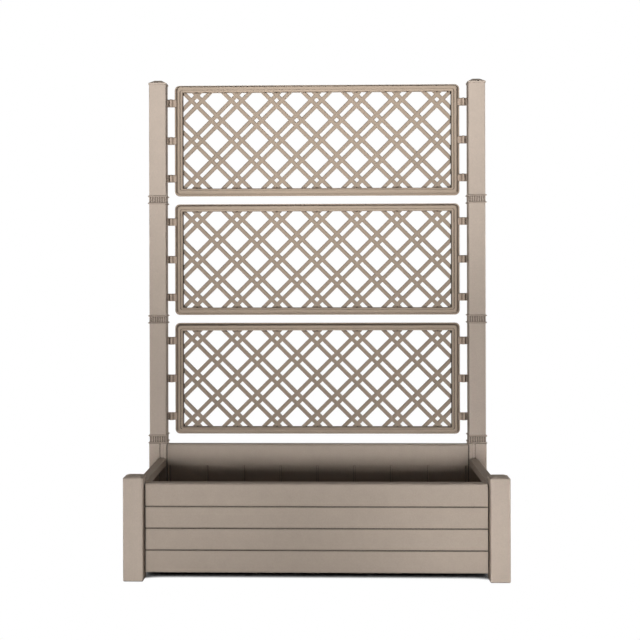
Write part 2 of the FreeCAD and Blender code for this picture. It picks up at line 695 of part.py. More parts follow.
def trellis(label):
    """A lattice panel about its own middle: paired diagonal bars in a ridged frame, front towards -Y."""
    body = new_body(label)
    half_w, half_h = "Dim.trellis_width / 2", "Dim.trellis_height / 2"
    ridge_inset = "(Dim.flange_width + Dim.slope_width + Dim.ridge_width)"
    quirk_inset = f"({ridge_inset} + Dim.quirk_width)"
    frame_width = f"({quirk_inset} + Dim.lip_width)"
    open_w, open_h = f"({half_w} - {frame_width})", f"({half_h} - {frame_width})"
    front, back = "Dim.trellis_depth / 2", "-Dim.trellis_depth / 2"

    # The frame: a flange, a sloped ridge, a sunk quirk and an inner lip, hollow from the back
    opening = bevelled_rectangle(open_w, open_h, "Dim.opening_bevel")
    flange = new_sketch(body, "XZ_Plane", back)
    add_loop(flange, rounded_rectangle(half_w, half_h, "Dim.frame_corner_radius"))
    add_loop(flange, opening)
    pad(body, flange, "Dim.flange_depth")
    ridge = new_sketch(body, "XZ_Plane", f"{back} + Dim.flange_depth")
    ridge_w, ridge_h = f"{half_w} - Dim.flange_width", f"{half_h} - Dim.flange_width"
    add_loop(ridge, bevelled_rectangle(ridge_w, ridge_h, "Dim.ridge_bevel"))
    add_loop(ridge, opening)
    block = pad(body, ridge, "Dim.trellis_depth - Dim.flange_depth")
    limit = value(f"{open_w} + Dim.lip_width"), value(f"{open_h} + Dim.lip_width")
    outer_edges = [
        name for name in edges_of(block, lies_at(1, value(back)))
        if outside_opening(block.getSubObject(name), limit)
    ]
    chamfer(body, block, outer_edges, "Dim.slope_drop", "Dim.slope_width")
    ridge_loop = (ridge_inset, "Dim.ridge_bevel")
    rings = (
        (front, ridge_loop, (frame_width, "Dim.opening_bevel"), "Dim.lip_setback"),
        (front, ridge_loop, (quirk_inset, "Dim.quirk_bevel"), "Dim.quirk_depth"),
        (back, ("Dim.channel_outer_inset", "Dim.opening_bevel"),
         ("Dim.channel_inner_inset", "Dim.opening_bevel"), "Dim.channel_depth"),
    )
    for level, outer, inner, depth in rings:
        ring = new_sketch(body, "XZ_Plane", level)
        for inset, bevel in (outer, inner):
            add_loop(ring, bevelled_rectangle(f"{half_w} - {inset}", f"{half_h} - {inset}", bevel))
        pocket(body, ring, depth, upwards=level == back)

    # Sockets for the pegs in both upright sides
    for side in (-1, 1):
        sockets = new_sketch(body, "YZ_Plane", f"{side} * ({half_w} - Dim.peg_engagement)")
        add_peg_holes(sockets, "0")
        pocket(body, sockets, "Dim.peg_engagement + Dim.overrun", upwards=side > 0)

    # The lattice joins the frame behind the lip
    insert = doc.addObject("PartDesign::Body", "LatticeInsert")
    lattice_plate(insert, open_w, open_h)
    union = body.newObject("PartDesign::Boolean", "Union")
    union.Type = "Fuse"
    union.addObject(insert)
    body.Tip = union
    doc.recompute()
    return body


def outside_opening(edge, limit):
    """Whether the middle of an edge lies outside a rectangle of these half sizes."""
    middle = edge.CenterOfMass
    return abs(middle.x) > limit[0] or abs(middle.z) > limit[1]


def trellis_level(tier):
    """The level of the middle of a tier's lattice panel."""
    return f"{tier_foot(tier)} + Dim.post_length / 2"


def pegs(label, side, tier):
    """The pegs on one side of a lattice panel, each with an upright bead midway between its two ends."""
    body = new_body(label)
    half_length = f"({PEG_GAP} / 2 + Dim.peg_engagement - Dim.end_clearance)"
    half_t = "(Dim.peg_thickness / 2)"
    bead_front = f"({half_t} + Dim.peg_bead_reach)"
    for level in peg_levels("0"):
        plan = new_sketch(body, "XY_Plane", level)
        add_loop(plan, [
            (f"-{half_length}", f"-{half_t}"),
            ("-Dim.peg_bead_width / 2", f"-{half_t}"),
            ("-Dim.peg_bead_crown / 2", f"-{bead_front}"),
            ("Dim.peg_bead_crown / 2", f"-{bead_front}"),
            ("Dim.peg_bead_width / 2", f"-{half_t}"),
            (half_length, f"-{half_t}"),
            (half_length, half_t),
            (f"-{half_length}", half_t),
        ])
        peg = pad(body, plan, "Dim.peg_height", both_ways=True)
        top = value(f"{level} + Dim.peg_height / 2")
        chamfer(body, peg, edges_of(peg, lies_at(2, top)), "Dim.peg_bevel")
    middle = f"{side} * (Dim.trellis_width + {PEG_GAP}) / 2"
    place(body, middle, f"{LEG_Y} + {PEG_Y}", trellis_level(tier))


# The box
for name, side in SIDES:
    leg(f"front_{name}_leg", "Dim.front_leg_height", side, -1)
    leg(f"rear_{name}_leg", "Dim.rear_leg_height", side, 1)
    cap = crowned_cap(
        f"front_{name}_leg_cap", HALF_LEG, HALF_LEG, "Dim.leg_edge_bevel",
        "Dim.leg_cap_rim", "Dim.leg_cap_crown", "Dim.leg_cap_slope",
        f"({LEG_BORE} - Dim.plug_clearance)", f"({LEG_BORE} - Dim.plug_clearance)",
    )
    place(cap, f"{side} * {LEG_X}", f"-{LEG_Y}", "Dim.front_leg_height")
wall("front_wall", LONG_WALL, LONG_WALL_RIBS, "0", f"-{WALL_Y}", 0)
wall("rear_wall", LONG_WALL, LONG_WALL_RIBS, "0", WALL_Y, 180)
wall("left_wall", SHORT_WALL, SHORT_WALL_RIBS, f"-{WALL_X}", "0", -90)
wall("right_wall", SHORT_WALL, SHORT_WALL_RIBS, WALL_X, "0", 90)
rear_rail()
floor_panel()

# The trellis, tier by tier
panels = []
couplers = {}
for tier, tier_name in enumerate(TIERS):
    for name, side in SIDES:
        label = f"{name}_{tier_name}_coupler"
        below = POST_SPIGOT if tier else LEG_SPIGOT
        joint = copy_of(label, couplers[below]) if below in couplers else coupler(label, below)
        couplers.setdefault(below, joint)
        place(joint, f"{side} * {LEG_X}", LEG_Y, f"Dim.rear_leg_height + {tier} * {TIER_PITCH}")
        post(f"{name}_{tier_name}_post", side, tier)
        pegs(f"{name}_{tier_name}_pegs", side, tier)
    label = f"{tier_name}_trellis"
    panels.append(copy_of(label, panels[0]) if panels else trellis(label))
    place(panels[-1], "0", LEG_Y, trellis_level(tier))
for name, side in SIDES:
    post_bore_x = "(Dim.post_width / 2 - Dim.post_wall - Dim.plug_clearance)"
    post_bore_y = "(Dim.post_depth / 2 - Dim.post_wall - Dim.plug_clearance)"
    cap = crowned_cap(
        f"{name}_post_cap",
        "Dim.post_width / 2 + Dim.post_cap_reach", "Dim.post_depth / 2 + Dim.post_cap_reach",
        "Dim.post_edge_bevel", "Dim.post_cap_rim", "Dim.post_cap_crown", "Dim.post_cap_slope",
        post_bore_x, post_bore_y,
    )
    place(cap, f"{side} * {LEG_X}", LEG_Y, f"{tier_foot(len(TIERS) - 1)} + Dim.post_length")

doc.recompute()
for item in doc.Objects:
    if "Invalid" in item.State or "Error" in item.State:
        raise RuntimeError(f"{item.Label} failed: {item.State}")
for node in nodes:
    if node.Shape.isNull() or not (node in copies or node.Shape.isValid()):
        raise RuntimeError(f"{node.Label} has no valid shape")
os.makedirs("parts", exist_ok=True)
for node in nodes:
    node.Shape.exportStep(f"parts/{node.Label}.step")
    print(node.Label, len(node.Shape.Solids), "solids", round(node.Shape.Volume), "mm3")
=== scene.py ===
# %% [markdown]
# # A trellis planter, dressed for its portrait
# The object is a moulded plastic planting box on four legs with a three-tier lattice screen behind it.
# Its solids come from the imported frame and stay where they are. This lesson gives them a moulded finish,
# makes finer lattice panels over the plain ones, and sets a studio round them.

# %% Load the frame
import math
import bmesh
import bpy
import numpy as np
from mathutils import Matrix, Vector


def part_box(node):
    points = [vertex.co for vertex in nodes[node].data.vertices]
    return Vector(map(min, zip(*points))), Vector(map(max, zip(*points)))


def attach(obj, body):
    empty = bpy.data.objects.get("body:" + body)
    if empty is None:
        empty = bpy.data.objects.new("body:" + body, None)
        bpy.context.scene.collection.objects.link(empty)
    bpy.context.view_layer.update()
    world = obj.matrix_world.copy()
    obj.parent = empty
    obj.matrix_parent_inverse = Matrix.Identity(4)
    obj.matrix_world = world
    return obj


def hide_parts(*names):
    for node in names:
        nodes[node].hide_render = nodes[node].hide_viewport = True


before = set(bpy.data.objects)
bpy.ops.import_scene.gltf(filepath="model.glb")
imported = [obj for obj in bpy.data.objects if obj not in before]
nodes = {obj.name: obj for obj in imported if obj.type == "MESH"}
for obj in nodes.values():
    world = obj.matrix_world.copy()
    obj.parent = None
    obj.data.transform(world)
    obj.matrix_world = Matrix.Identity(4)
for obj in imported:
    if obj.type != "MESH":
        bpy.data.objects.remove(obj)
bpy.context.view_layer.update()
MM = 0.001

# %% [markdown]
# ## The plastic
# Outdoor furniture of this kind is moulded from a tinted resin in a spark-eroded mould. Close up, the
# skin has a pebble grain from about three millimetres down to a fraction of one, faint flow streaks
# along the length of a moulding, a slow drift of tint, and edges that handling has rubbed paler and
# smoother. A picture could hold all this, but a node tree on Object coordinates has the same scale on
# every piece and needs no unwrapping. A few helpers keep such a tree short to write.

# %% Helpers for node trees
NOISE_RANGE = (0.3, 0.7)  # nearly all smooth noise lies between these


def joined(tree, kind, **links):
    """A new node; each keyword is an input's name, or i and its number, with a value or a socket."""
    node = tree.nodes.new(kind)
    for key, given in links.items():
        numbered = key[1:].isdigit()
        socket = node.inputs[int(key[1:])] if numbered else node.inputs[key.replace("_", " ")]
        if isinstance(given, bpy.types.NodeSocket):
            tree.links.new(given, socket)
        else:
            socket.default_value = given
    return node


def math_node(tree, operation, first, second=0.0):
    """One number worked out from two."""
    node = joined(tree, "ShaderNodeMath", i0=first, i1=second)
    node.operation = operation
    return node.outputs[0]


def spread(tree, source, low, high, to_low, to_high):
    """A number carried from one range to another, held at the ends."""
    node = joined(tree, "ShaderNodeMapRange", Value=source, From_Min=low, From_Max=high,
                  To_Min=to_low, To_Max=to_high)
    return node.outputs["Result"]


def noise(tree, coordinates, scale, detail=3.0, roughness=0.5):
    """Smooth noise with features of 1/scale metres."""
    node = joined(tree, "ShaderNodeTexNoise", Vector=coordinates, Scale=scale, Detail=detail,
                  Roughness=roughness)
    return node.outputs["Fac"]


def swing(tree, source, size):
    """Smooth noise carried to the range from -size to size."""
    return spread(tree, source, *NOISE_RANGE, -size, size)


print("noise range", NOISE_RANGE)

# %% [markdown]
# ### Tint
# The resin is tinted all through, but never quite evenly. One colour could look like paint, so the tint
# is multiplied by a shade near 1: the sum of a slow drift, smaller clouds, the flow streaks and the
# grain. The streaks are a round noise squeezed along two axes.

# %% The shade of the tint
DRIFT_SCALE, CLOUD_SCALE = 4.0, 38.0
DRIFT, CLOUD, STREAK, SPECK = 0.030, 0.020, 0.006, 0.075  # how far each moves the shade from 1


def stretched(tree, coordinates, scale):
    """Coordinates multiplied along each axis, so that a round pattern becomes streaks."""
    return joined(tree, "ShaderNodeMapping", Vector=coordinates, Scale=scale).outputs["Vector"]


def tint_shade(tree, place, fine, streaks):
    """1 + drift + clouds + streaks + grain, each a smooth noise with a scale of its own."""
    shade = 1.0
    drift, cloud = noise(tree, place, DRIFT_SCALE), noise(tree, place, CLOUD_SCALE)
    for source, size in ((drift, DRIFT), (cloud, CLOUD), (streaks, STREAK), (fine, SPECK)):
        shade = math_node(tree, "ADD", shade, swing(tree, source, size))
    return shade


print("shade moves by at most", round(DRIFT + CLOUD + STREAK + SPECK, 3))

# %% [markdown]
# ### Painted shade
# Tight corners, joints and grooves are darkened with painted shade. Painting it by hand would tie it to
# one shape, so an occlusion term finds the corners. On the lattice, faces that are set back, and faces
# that are turned up or sideways, get painted shade, while faces that look down get painted light and are
# paler. These follow from the depth of a point and the way its face is turned.

# %% Painted shade in corners and on the lattice
SAMPLES = 6
CORNER = 0.25  # a corner as closed as this gets the darkest painted shade
PAINTED_RECESS, PAINTED_TURN, PAINTED_UNDER_LIGHT = 0.91, 0.50, 1.3  # painted shade of faces set back and turned up or sideways; painted light of faces turned down
FRONTAL = (0.30, 0.70)  # size of a normal's y, from a turned face to one seen from the front
DOWNWARD = (-0.6, -0.2)  # a normal's z, from a face that looks down to one that doesn't


def painted_corner_shade(tree, reach, darkest_shade, open_at):
    """Painted shade: 1 where a spot is open, down to `darkest_shade` in a corner, judged within `reach`
    metres.
    """
    hollow = joined(tree, "ShaderNodeAmbientOcclusion", Distance=reach)
    hollow.samples = SAMPLES
    return spread(tree, hollow.outputs["AO"], CORNER, open_at, darkest_shade, 1.0)


def painted_lattice_shading(tree, place, normal, depths):
    """Painted shade by depth between the two `depths`, times the larger of two painted terms:
    shade on faces turned up or sideways, and light on faces that look down.
    """
    depth = joined(tree, "ShaderNodeSeparateXYZ", Vector=place).outputs["Y"]
    recess_shade = spread(tree, depth, *depths, 1.0, PAINTED_RECESS)
    turned = joined(tree, "ShaderNodeSeparateXYZ", Vector=normal).outputs
    turned_shade = spread(tree, math_node(tree, "ABSOLUTE", turned["Y"]), *FRONTAL, PAINTED_TURN, 1.0)
    under_light = spread(tree, turned["Z"], *DOWNWARD, PAINTED_UNDER_LIGHT, 0.0)
    return math_node(tree, "MULTIPLY", recess_shade, math_node(tree, "MAXIMUM", turned_shade, under_light))


# the painted shade and light of the lattice faces
print("dust shades", PAINTED_RECESS, PAINTED_TURN, PAINTED_UNDER_LIGHT)

# %% [markdown]
# ### Rubbed edges and skin
# Handling rubs the edges in patches. The Bevel node finds them, by comparing a rounded normal with the
# true one, because a mesh of loose triangles has no useful pointiness. The rounded normal then carries
# the pebble grain as a bump, and the grain and the wear also move the roughness.

# %% Rubbed edges
EDGE_RADIUS = 1.0 * MM
EDGE_RANGE = (0.985, 0.86)  # the two normals' dot product, from a flat face to a sharp edge
PATCH_SCALE, PATCH_RANGE, LEAST_PATCH = 55.0, (0.40, 0.62), 0.25
RUB = 0.20  # the largest share of the paler tint


def rubbed_edges(tree, place, normal):
    """How worn a spot is, edge * patches * RUB, and the rounded normal."""
    soft = joined(tree, "ShaderNodeBevel", Radius=EDGE_RADIUS)
    soft.samples = SAMPLES
    facing = joined(tree, "ShaderNodeVectorMath", i0=soft.outputs["Normal"], i1=normal)
    facing.operation = "DOT_PRODUCT"
    edge = spread(tree, facing.outputs["Value"], *EDGE_RANGE, 0.0, 1.0)
    patches = noise(tree, place, PATCH_SCALE, detail=4.0, roughness=0.65)
    patchy = spread(tree, patches, *PATCH_RANGE, LEAST_PATCH, 1.0)
    worn = math_node(tree, "MULTIPLY", math_node(tree, "MULTIPLY", edge, patchy), RUB)
    return worn, soft.outputs["Normal"]


print("edges within", EDGE_RADIUS, "m")

# %% Roughness and bump
GRAIN_SCALE, PEBBLE_SCALE = 420.0, 260.4
PEBBLE_HEIGHT, PEBBLE_SHARE, BUMP = 0.22 * MM, 0.6, 0.55
ROUGH, GRAIN_ROUGHER, STREAK_ROUGHER, WORN_SMOOTHER = 0.74, 0.05, 0.04, 0.25
SPECULAR = 0.14


def add_skin(tree, shader, place, fine, streaks, worn, soft):
    """Roughness = ROUGH + grain + streaks - wear; bump height = grain + a share of round pebbles."""
    gloss = math_node(tree, "ADD", swing(tree, fine, GRAIN_ROUGHER), swing(tree, streaks, STREAK_ROUGHER))
    gloss = math_node(tree, "ADD", gloss, ROUGH)
    gloss = math_node(tree, "SUBTRACT", gloss, math_node(tree, "MULTIPLY", worn, WORN_SMOOTHER))
    tree.links.new(gloss, shader.inputs["Roughness"])
    pebbles = joined(tree, "ShaderNodeTexVoronoi", Vector=place, Scale=PEBBLE_SCALE)
    relief = math_node(tree, "MULTIPLY", pebbles.outputs["Distance"], PEBBLE_SHARE)
    relief = math_node(tree, "ADD", fine, relief)
    bump = joined(tree, "ShaderNodeBump", Strength=BUMP, Distance=PEBBLE_HEIGHT, Height=relief,
                  Normal=soft)
    tree.links.new(bump.outputs["Normal"], shader.inputs["Normal"])
    shader.inputs["Specular IOR Level"].default_value = SPECULAR


print("pebbles about", round(1 / PEBBLE_SCALE, 4), "m apart")

# %% [markdown]
# ### One finish from these
# Every piece is the same resin in a slightly different tint, so one function makes all the finishes. The
# rubbed edges are mixed in last, over the painted corner shade and the lattice's painted shade and light.

# %% The moulded finish
PALER, PALER_LIFT = 1.28, 0.02


def moulded_plastic(name, tint, streak_scale, reach=0.005, darkest_shade=0.12, open_at=0.80, shade_depths=None):
    """Base = tint * shade * painted corner shade * painted lattice shade and light, mixed with a paler
    tint where edges are rubbed.

    `reach`, `darkest_shade` and `open_at` go to the painted corner shade; `shade_depths` is the two
    depths for the painted lattice shade and light, if any.
    """
    material = bpy.data.materials.new(name)
    material.use_nodes = True
    tree = material.node_tree
    shader = tree.nodes["Principled BSDF"]
    place = tree.nodes.new("ShaderNodeTexCoord").outputs["Object"]
    normal = tree.nodes.new("ShaderNodeNewGeometry").outputs["Normal"]
    fine = noise(tree, place, GRAIN_SCALE, roughness=0.7)
    streaks = noise(tree, stretched(tree, place, streak_scale), 1.0, roughness=0.6)
    shade = tint_shade(tree, place, fine, streaks)
    # painted shade in corners, joints and grooves
    shade = math_node(tree, "MULTIPLY", shade, painted_corner_shade(tree, reach, darkest_shade, open_at))
    # painted shade on set-back and turned faces, painted light on faces that look down
    if shade_depths:
        shade = math_node(tree, "MULTIPLY", shade, painted_lattice_shading(tree, place, normal, shade_depths))
    worn, soft = rubbed_edges(tree, place, normal)
    base = joined(tree, "ShaderNodeVectorMath", i0=tint)
    base.operation = "SCALE"
    tree.links.new(shade, base.inputs["Scale"])
    pale = tuple(min(1.0, channel * PALER + PALER_LIFT) for channel in tint)
    mixed = joined(tree, "ShaderNodeMix", i0=worn, i7=(*pale, 1.0))
    mixed.data_type = "RGBA"
    tree.links.new(base.outputs["Vector"], mixed.inputs[6])
    tree.links.new(mixed.outputs[2], shader.inputs["Base Color"])
    add_skin(tree, shader, place, fine, streaks, worn, soft)
    return material


# %% Make the finishes
ALONG_BOARDS, UP_POSTS = (5.0, 5.0, 150.0), (150.0, 150.0, 4.0)
ALONG_PANEL, ROUND = (20.0, 60.0, 60.0), (60.0, 60.0, 60.0)
panel_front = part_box("lower_trellis")[0].y
# the depths over which set-back lattice faces get painted shade
lattice_shade_depths = (panel_front + 1 * MM, panel_front + 6 * MM)
# the board joints get painted corner shade down to black
finish_wall = moulded_plastic("board_wall_resin", (0.412, 0.343, 0.286), ALONG_BOARDS, darkest_shade=0.0)
finish_frame = moulded_plastic("post_and_leg_resin", (0.490, 0.409, 0.344), UP_POSTS)
# the lattice gets strong painted corner shade, and its faces get painted shade and light
finish_lattice = moulded_plastic("lattice_resin", (0.387, 0.307, 0.238), ALONG_PANEL,
                                 reach=0.008, darkest_shade=0.03, open_at=0.60, shade_depths=lattice_shade_depths)
# the pegs' tint is darker than the posts' with painted shade, and a long reach deepens their painted
# corner shade
finish_peg_painted_shade = moulded_plastic("peg_resin_painted_shade", (0.443, 0.348, 0.277), ROUND, reach=0.018)
finish_coupler = moulded_plastic("coupler_resin", (0.424, 0.350, 0.293), UP_POSTS, darkest_shade=0.42)
print("finishes", [made.name for made in (finish_wall, finish_frame, finish_lattice, finish_peg_painted_shade,
                                          finish_coupler)])

# %% [markdown]
# ## Dressing the solids
# Each solid keeps its mesh and only changes its material. Boards, rail and floor share one resin, and
# legs, posts and caps another. The lattice, the pegs and the couplers each have a tint of their own,
# because their tones differ in the picture; the pegs' darker tint is painted shade, and small forms take
# the painted corner shade differently.

# %% Give each solid its finish
WALL_NODES = ("front_wall", "rear_wall", "left_wall", "right_wall", "rear_rail", "floor_panel")
for name, solid in nodes.items():
    if name in WALL_NODES:
        chosen = finish_wall
    elif name.endswith("trellis"):
        chosen = finish_lattice
    elif name.endswith("pegs"):
        chosen = finish_peg_painted_shade
    elif name.endswith("coupler"):
        chosen = finish_coupler
    else:
        chosen = finish_frame
    solid.data.materials.clear()
    solid.data.materials.append(chosen)
print("dressed", len(nodes))

# %% [markdown]
# ## The lattice panels
# Each panel is one moulding: a ridged frame round paired diagonal bars. The solid in the frame has
# square-edged bars, to stay light. On the real panel every bar has drawn edges that look darker than its
# crown, the corners of the frame are eased, and a narrow moat separates the bar ends from the inner lip.
# A Boolean of many bevelled blocks would be slow and ragged. Instead the frame is one profile carried
# round a rounded rectangle, and all the bars are one profile carried along straight lines whose two ends
# are worked out, line by line, where they meet the lip. Lengths here are in millimetres.

# %% A loop with eased corners, and the faces of a grid
CUT_SHARE = 0.45  # a cut-back from either end of a length takes at most this share of it


def eased(corners, ease, steps=3):
    """Each corner of a closed loop becomes a short curve, a quadratic between its two cut-backs.

    P(t) = (1-t)^2 A + 2t(1-t) C + t^2 B, where A and B lie `ease` from the corner C on its two sides.
    """
    c = np.asarray(corners, float)
    before, after = np.roll(c, 1, 0) - c, np.roll(c, -1, 0) - c
    reach_b, reach_a = (np.linalg.norm(v, axis=1, keepdims=True) for v in (before, after))
    a = c + before / reach_b * np.minimum(ease, reach_b * CUT_SHARE)
    b = c + after / reach_a * np.minimum(ease, reach_a * CUT_SHARE)
    t = np.linspace(0, 1, steps)[None, :, None]
    curve = (1 - t) ** 2 * a[:, None] + 2 * t * (1 - t) * c[:, None] + t ** 2 * b[:, None]
    return curve.reshape(-1, c.shape[1])


def grid_faces(rows, columns, wrap_rows, wrap_columns):
    """Quads of a grid of points, row by row, joined up where a direction wraps round."""
    r = np.arange(rows if wrap_rows else rows - 1)
    c = np.arange(columns if wrap_columns else columns - 1)
    r, c = (v.ravel() for v in np.meshgrid(r, c, indexing="ij"))
    r_next, c_next = (r + 1) % rows, (c + 1) % columns
    return np.stack([r * columns + c, r * columns + c_next,
                     r_next * columns + c_next, r_next * columns + c], axis=1)


print("faces of a closed 3 by 4 grid", len(grid_faces(3, 4, True, True)))

# %% [markdown]
# ### The frame of a panel
# On the upright stiles the frame shows a flange, a slope, a flat crown, a quirk and a lip. On the level
# rails the quirk closes to a hairline and the lip's edge is a chamfer. One loop of profile points with
# two insets, one for stiles and one for rails, gives both and still meets cleanly at the corners, where
# two separate mouldings would need a mitre.

# %% The ridged frame
FRAME_WIDTH = 23
FRAME_PROFILE = [  # (inset on the upright stiles, inset on the level rails, depth)
    (0, 0, 22), (0, 0, 17.5), (2.9, 2.7, 17.5), (3.3, 3.1, 17), (9.8, 7.8, 0), (15.2, 16.7, 0),
    (15.6, 16.8, 3), (17.6, 17.0, 3), (17.9, 17.1, 0.6), (22.3, 20.8, 0.6),
    (FRAME_WIDTH, FRAME_WIDTH, 4), (FRAME_WIDTH, FRAME_WIDTH, 22),
    (19, 19, 22), (19, 19, 9), (9.5, 9.5, 9), (9.5, 9.5, 22),
]
PROFILE_EASE = 0.7
PANEL_HALF = np.array([426.0, 166.0])
STILE, RAIL = 1.13, 0.96  # the upright sides are a little wider than the top and bottom
OPENING_HALF = PANEL_HALF - FRAME_WIDTH * np.array([STILE, RAIL])
OUTER_RADIUS, INNER_RADIUS, RADIUS_FALL = 14.0, 3.0, 0.55
CORNER_STEPS = 7


def ridged_frame():
    """Points P(i, j): profile point i, set in by its insets from a rounded rectangle, at corner angle j.

    A corner's centre lies radius + inset inside the edge, by the stile's inset across and the rail's
    inset up and down, and its radius shrinks inwards from OUTER_RADIUS to INNER_RADIUS. A ring has no
    end caps, so the last result is empty.
    """
    profile = eased(FRAME_PROFILE, PROFILE_EASE)
    on_stile, on_rail, depth = profile[:, :1], profile[:, 1:2], profile[:, 2:]
    quarter = np.linspace(0, math.pi / 2, CORNER_STEPS)
    angle = (np.arange(4)[:, None] * math.pi / 2 + quarter[None, :]).ravel()[None, :]
    corner = np.repeat(np.array([[1, 1], [-1, 1], [-1, -1], [1, -1]]), CORNER_STEPS, axis=0)
    radius = np.maximum(INNER_RADIUS, OUTER_RADIUS - RADIUS_FALL * on_stile)
    x = corner[:, 0] * (PANEL_HALF[0] - on_stile * STILE - radius) + radius * np.cos(angle)
    z = corner[:, 1] * (PANEL_HALF[1] - on_rail * RAIL - radius) + radius * np.sin(angle)
    points = np.stack([x, np.broadcast_to(depth, x.shape), z], axis=2).reshape(-1, 3)
    return points, grid_faces(len(profile), angle.size, True, True), np.zeros((0, 1), int)


print("frame points", len(ridged_frame()[0]))

# %% [markdown]
# ### The bars of a panel
# The bars run in pairs at 45 degrees both ways. Each has a flat crown between two drawn edges, the slope
# that lets a moulding leave its mould. Where a bar meets the lip, its crown drops into a moat, which is
# shallower along the rails. Each strip of the profile finds its own two ends, so a bar is cut to the
# slant of the lip without a Boolean.

# %% The profile of a bar
PITCH, BAR, GAP = 119.5, 11.4, 11.2  # from pair to pair, across a bar, between the bars of a pair
BAR_FRONT, BAR_BACK = 6.0, 14.0  # depths of the crown and the back
DRAW, FALL = 2.6, 2.4  # how far a drawn edge reaches across and back
SHOULDER_IN, SHOULDER_FALL = 0.7, 0.62
BACK_EASE = 0.8
CROWN_POINTS, BACK_POINTS = 5, 7


def bar_profile():
    """The loop round one bar: (across, depth), a flat crown between drawn edges, split into strips."""
    half = BAR / 2
    crown = np.linspace(-(half - DRAW), half - DRAW, CROWN_POINTS)
    front = np.stack([crown, np.full(CROWN_POINTS, BAR_FRONT)], 1)
    sides = np.array([[half - SHOULDER_IN, BAR_FRONT + FALL * SHOULDER_FALL],
                      [half, BAR_FRONT + FALL], [half, BAR_BACK - BACK_EASE]])
    across_back = np.linspace(half - BACK_EASE, BACK_EASE - half, BACK_POINTS)
    back = np.stack([across_back, np.full(BACK_POINTS, BAR_BACK)], 1)
    mirrored = sides[::-1] * (-1, 1)
    return np.concatenate([front, sides, back, mirrored])


print("bar profile points", len(bar_profile()))

# %% The paired bars
PAIRS_EACH_SIDE = 4
MOAT_WIDTH, MOAT_DROP, ROOT = 3.4, 6.6, 2.0  # ROOT is how far a bar end runs into the lip
MOAT_STATIONS = np.array([0, 1, 1.06])  # bar end, inner edge of the moat, top of its steep wall
IN_MOAT = np.array([1, 1, 0, 0, 1, 1])  # the stations from one end of a bar to the other
RAIL_MOAT = 0.3  # along the rails the moat is this much as deep as along the stiles


def paired_bars(mirror, sink):
    """Points P(bar, profile, station) on lines x - z = c, each cut where it meets the opening.

    With half sizes X and Z, x runs from max(-X, c - Z) to min(X, c + Z); a line that misses the opening
    shrinks to a point. The stations nearest to the lip lie MOAT_DROP deeper, or RAIL_MOAT of that where
    the line ends on a rail. mirror = -1 gives the bars that lean the other way, sunk by a hair.
    """
    profile = bar_profile()
    pairs = PITCH * np.arange(-PAIRS_EACH_SIDE, PAIRS_EACH_SIDE + 1)[:, None]
    centre = pairs + np.array([-1, 1]) * (BAR + GAP) / 2 * math.sqrt(2)
    c = centre.reshape(-1, 1) + profile[None, :, 0] * math.sqrt(2)
    half_x, half_z = OPENING_HALF + ROOT
    start, end = np.maximum(-half_x, c - half_z), np.minimum(half_x, c + half_z)
    middle = np.clip((start + end) / 2, -half_x, half_x)
    start, end = np.minimum(start, middle), np.maximum(end, middle)
    step = np.minimum((ROOT + MOAT_WIDTH) * MOAT_STATIONS, (end - start)[..., None] * CUT_SHARE)
    near, far = start[..., None] + step, end[..., None] - step
    x = np.concatenate([near, far[..., ::-1]], axis=2)
    z = np.clip(x - c[..., None], -half_z, half_z)
    is_front = (profile[:, 1] < (BAR_FRONT + BAR_BACK) / 2)[None, :, None]
    ends_on_rail = np.stack([c - half_z > -half_x, c + half_z < half_x], 2)
    share = np.repeat(np.where(ends_on_rail, RAIL_MOAT, 1.0), len(MOAT_STATIONS), axis=2)
    drop = IN_MOAT * share * MOAT_DROP * is_front
    depth = profile[None, :, 1, None] + drop + np.where(is_front, sink, -sink)
    points = np.stack([mirror * x, np.broadcast_to(depth, x.shape), z], axis=3)
    bars, ring, stations = x.shape
    offsets = np.arange(bars)[:, None, None] * ring * stations
    quads = grid_faces(ring, stations, True, False)[None] + offsets
    ends = np.arange(ring)[None, :] * stations + np.array([[0], [stations - 1]])
    caps = (ends[None] + offsets).reshape(-1, ring)
    return points.reshape(-1, 3), quads.reshape(-1, 4), caps


print("bars each way", 2 * (2 * PAIRS_EACH_SIDE + 1))

# %% [markdown]
# ### One mesh for each panel
# The frame and the two sets of bars are one moulding, so they become one mesh. The second set is sunk by
# a hair, so that no two crowns lie in the same plane where bars cross. Each panel rides on its tier.

# %% Put a panel together
HAIR = 0.12
MERGE_DISTANCE = 1e-7  # in metres
SHARP_ANGLE = math.radians(17)


def lattice_panel(name, node, body):
    """The frame and both sets of bars in one mesh, moved to the middle of the solid it stands for."""
    low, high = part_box(node)
    points, faces, count = [], [], 0
    for at, quads, caps in (ridged_frame(), paired_bars(1, 0.0), paired_bars(-1, HAIR)):
        points.append(at)
        faces += (quads + count).tolist() + (caps + count).tolist()
        count += len(at)
    points = np.concatenate(points) * MM
    points += np.array([(low.x + high.x) / 2, low.y, (low.z + high.z) / 2])
    mesh = bpy.data.meshes.new(name)
    mesh.from_pydata(points, [], faces)
    shell = bmesh.new()
    shell.from_mesh(mesh)
    bmesh.ops.remove_doubles(shell, verts=shell.verts, dist=MERGE_DISTANCE)
    bmesh.ops.recalc_face_normals(shell, faces=shell.faces)
    shell.to_mesh(mesh)
    shell.free()
    mesh.polygons.foreach_set("use_smooth", np.ones(len(mesh.polygons), bool))
    mesh.set_sharp_from_angle(angle=SHARP_ANGLE)
    mesh.materials.append(finish_lattice)
    panel = bpy.data.objects.new(name, mesh)
    bpy.context.scene.collection.objects.link(panel)
    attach(panel, body)
    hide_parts(node)
    box = np.round(points.min(0), 4), np.round(points.max(0), 4)
    print(name, "faces", len(mesh.polygons), "box", *box)


for tier in ("lower", "middle", "upper"):
    lattice_panel(f"{tier}_lattice_panel", f"{tier}_trellis", f"{tier}_tier")

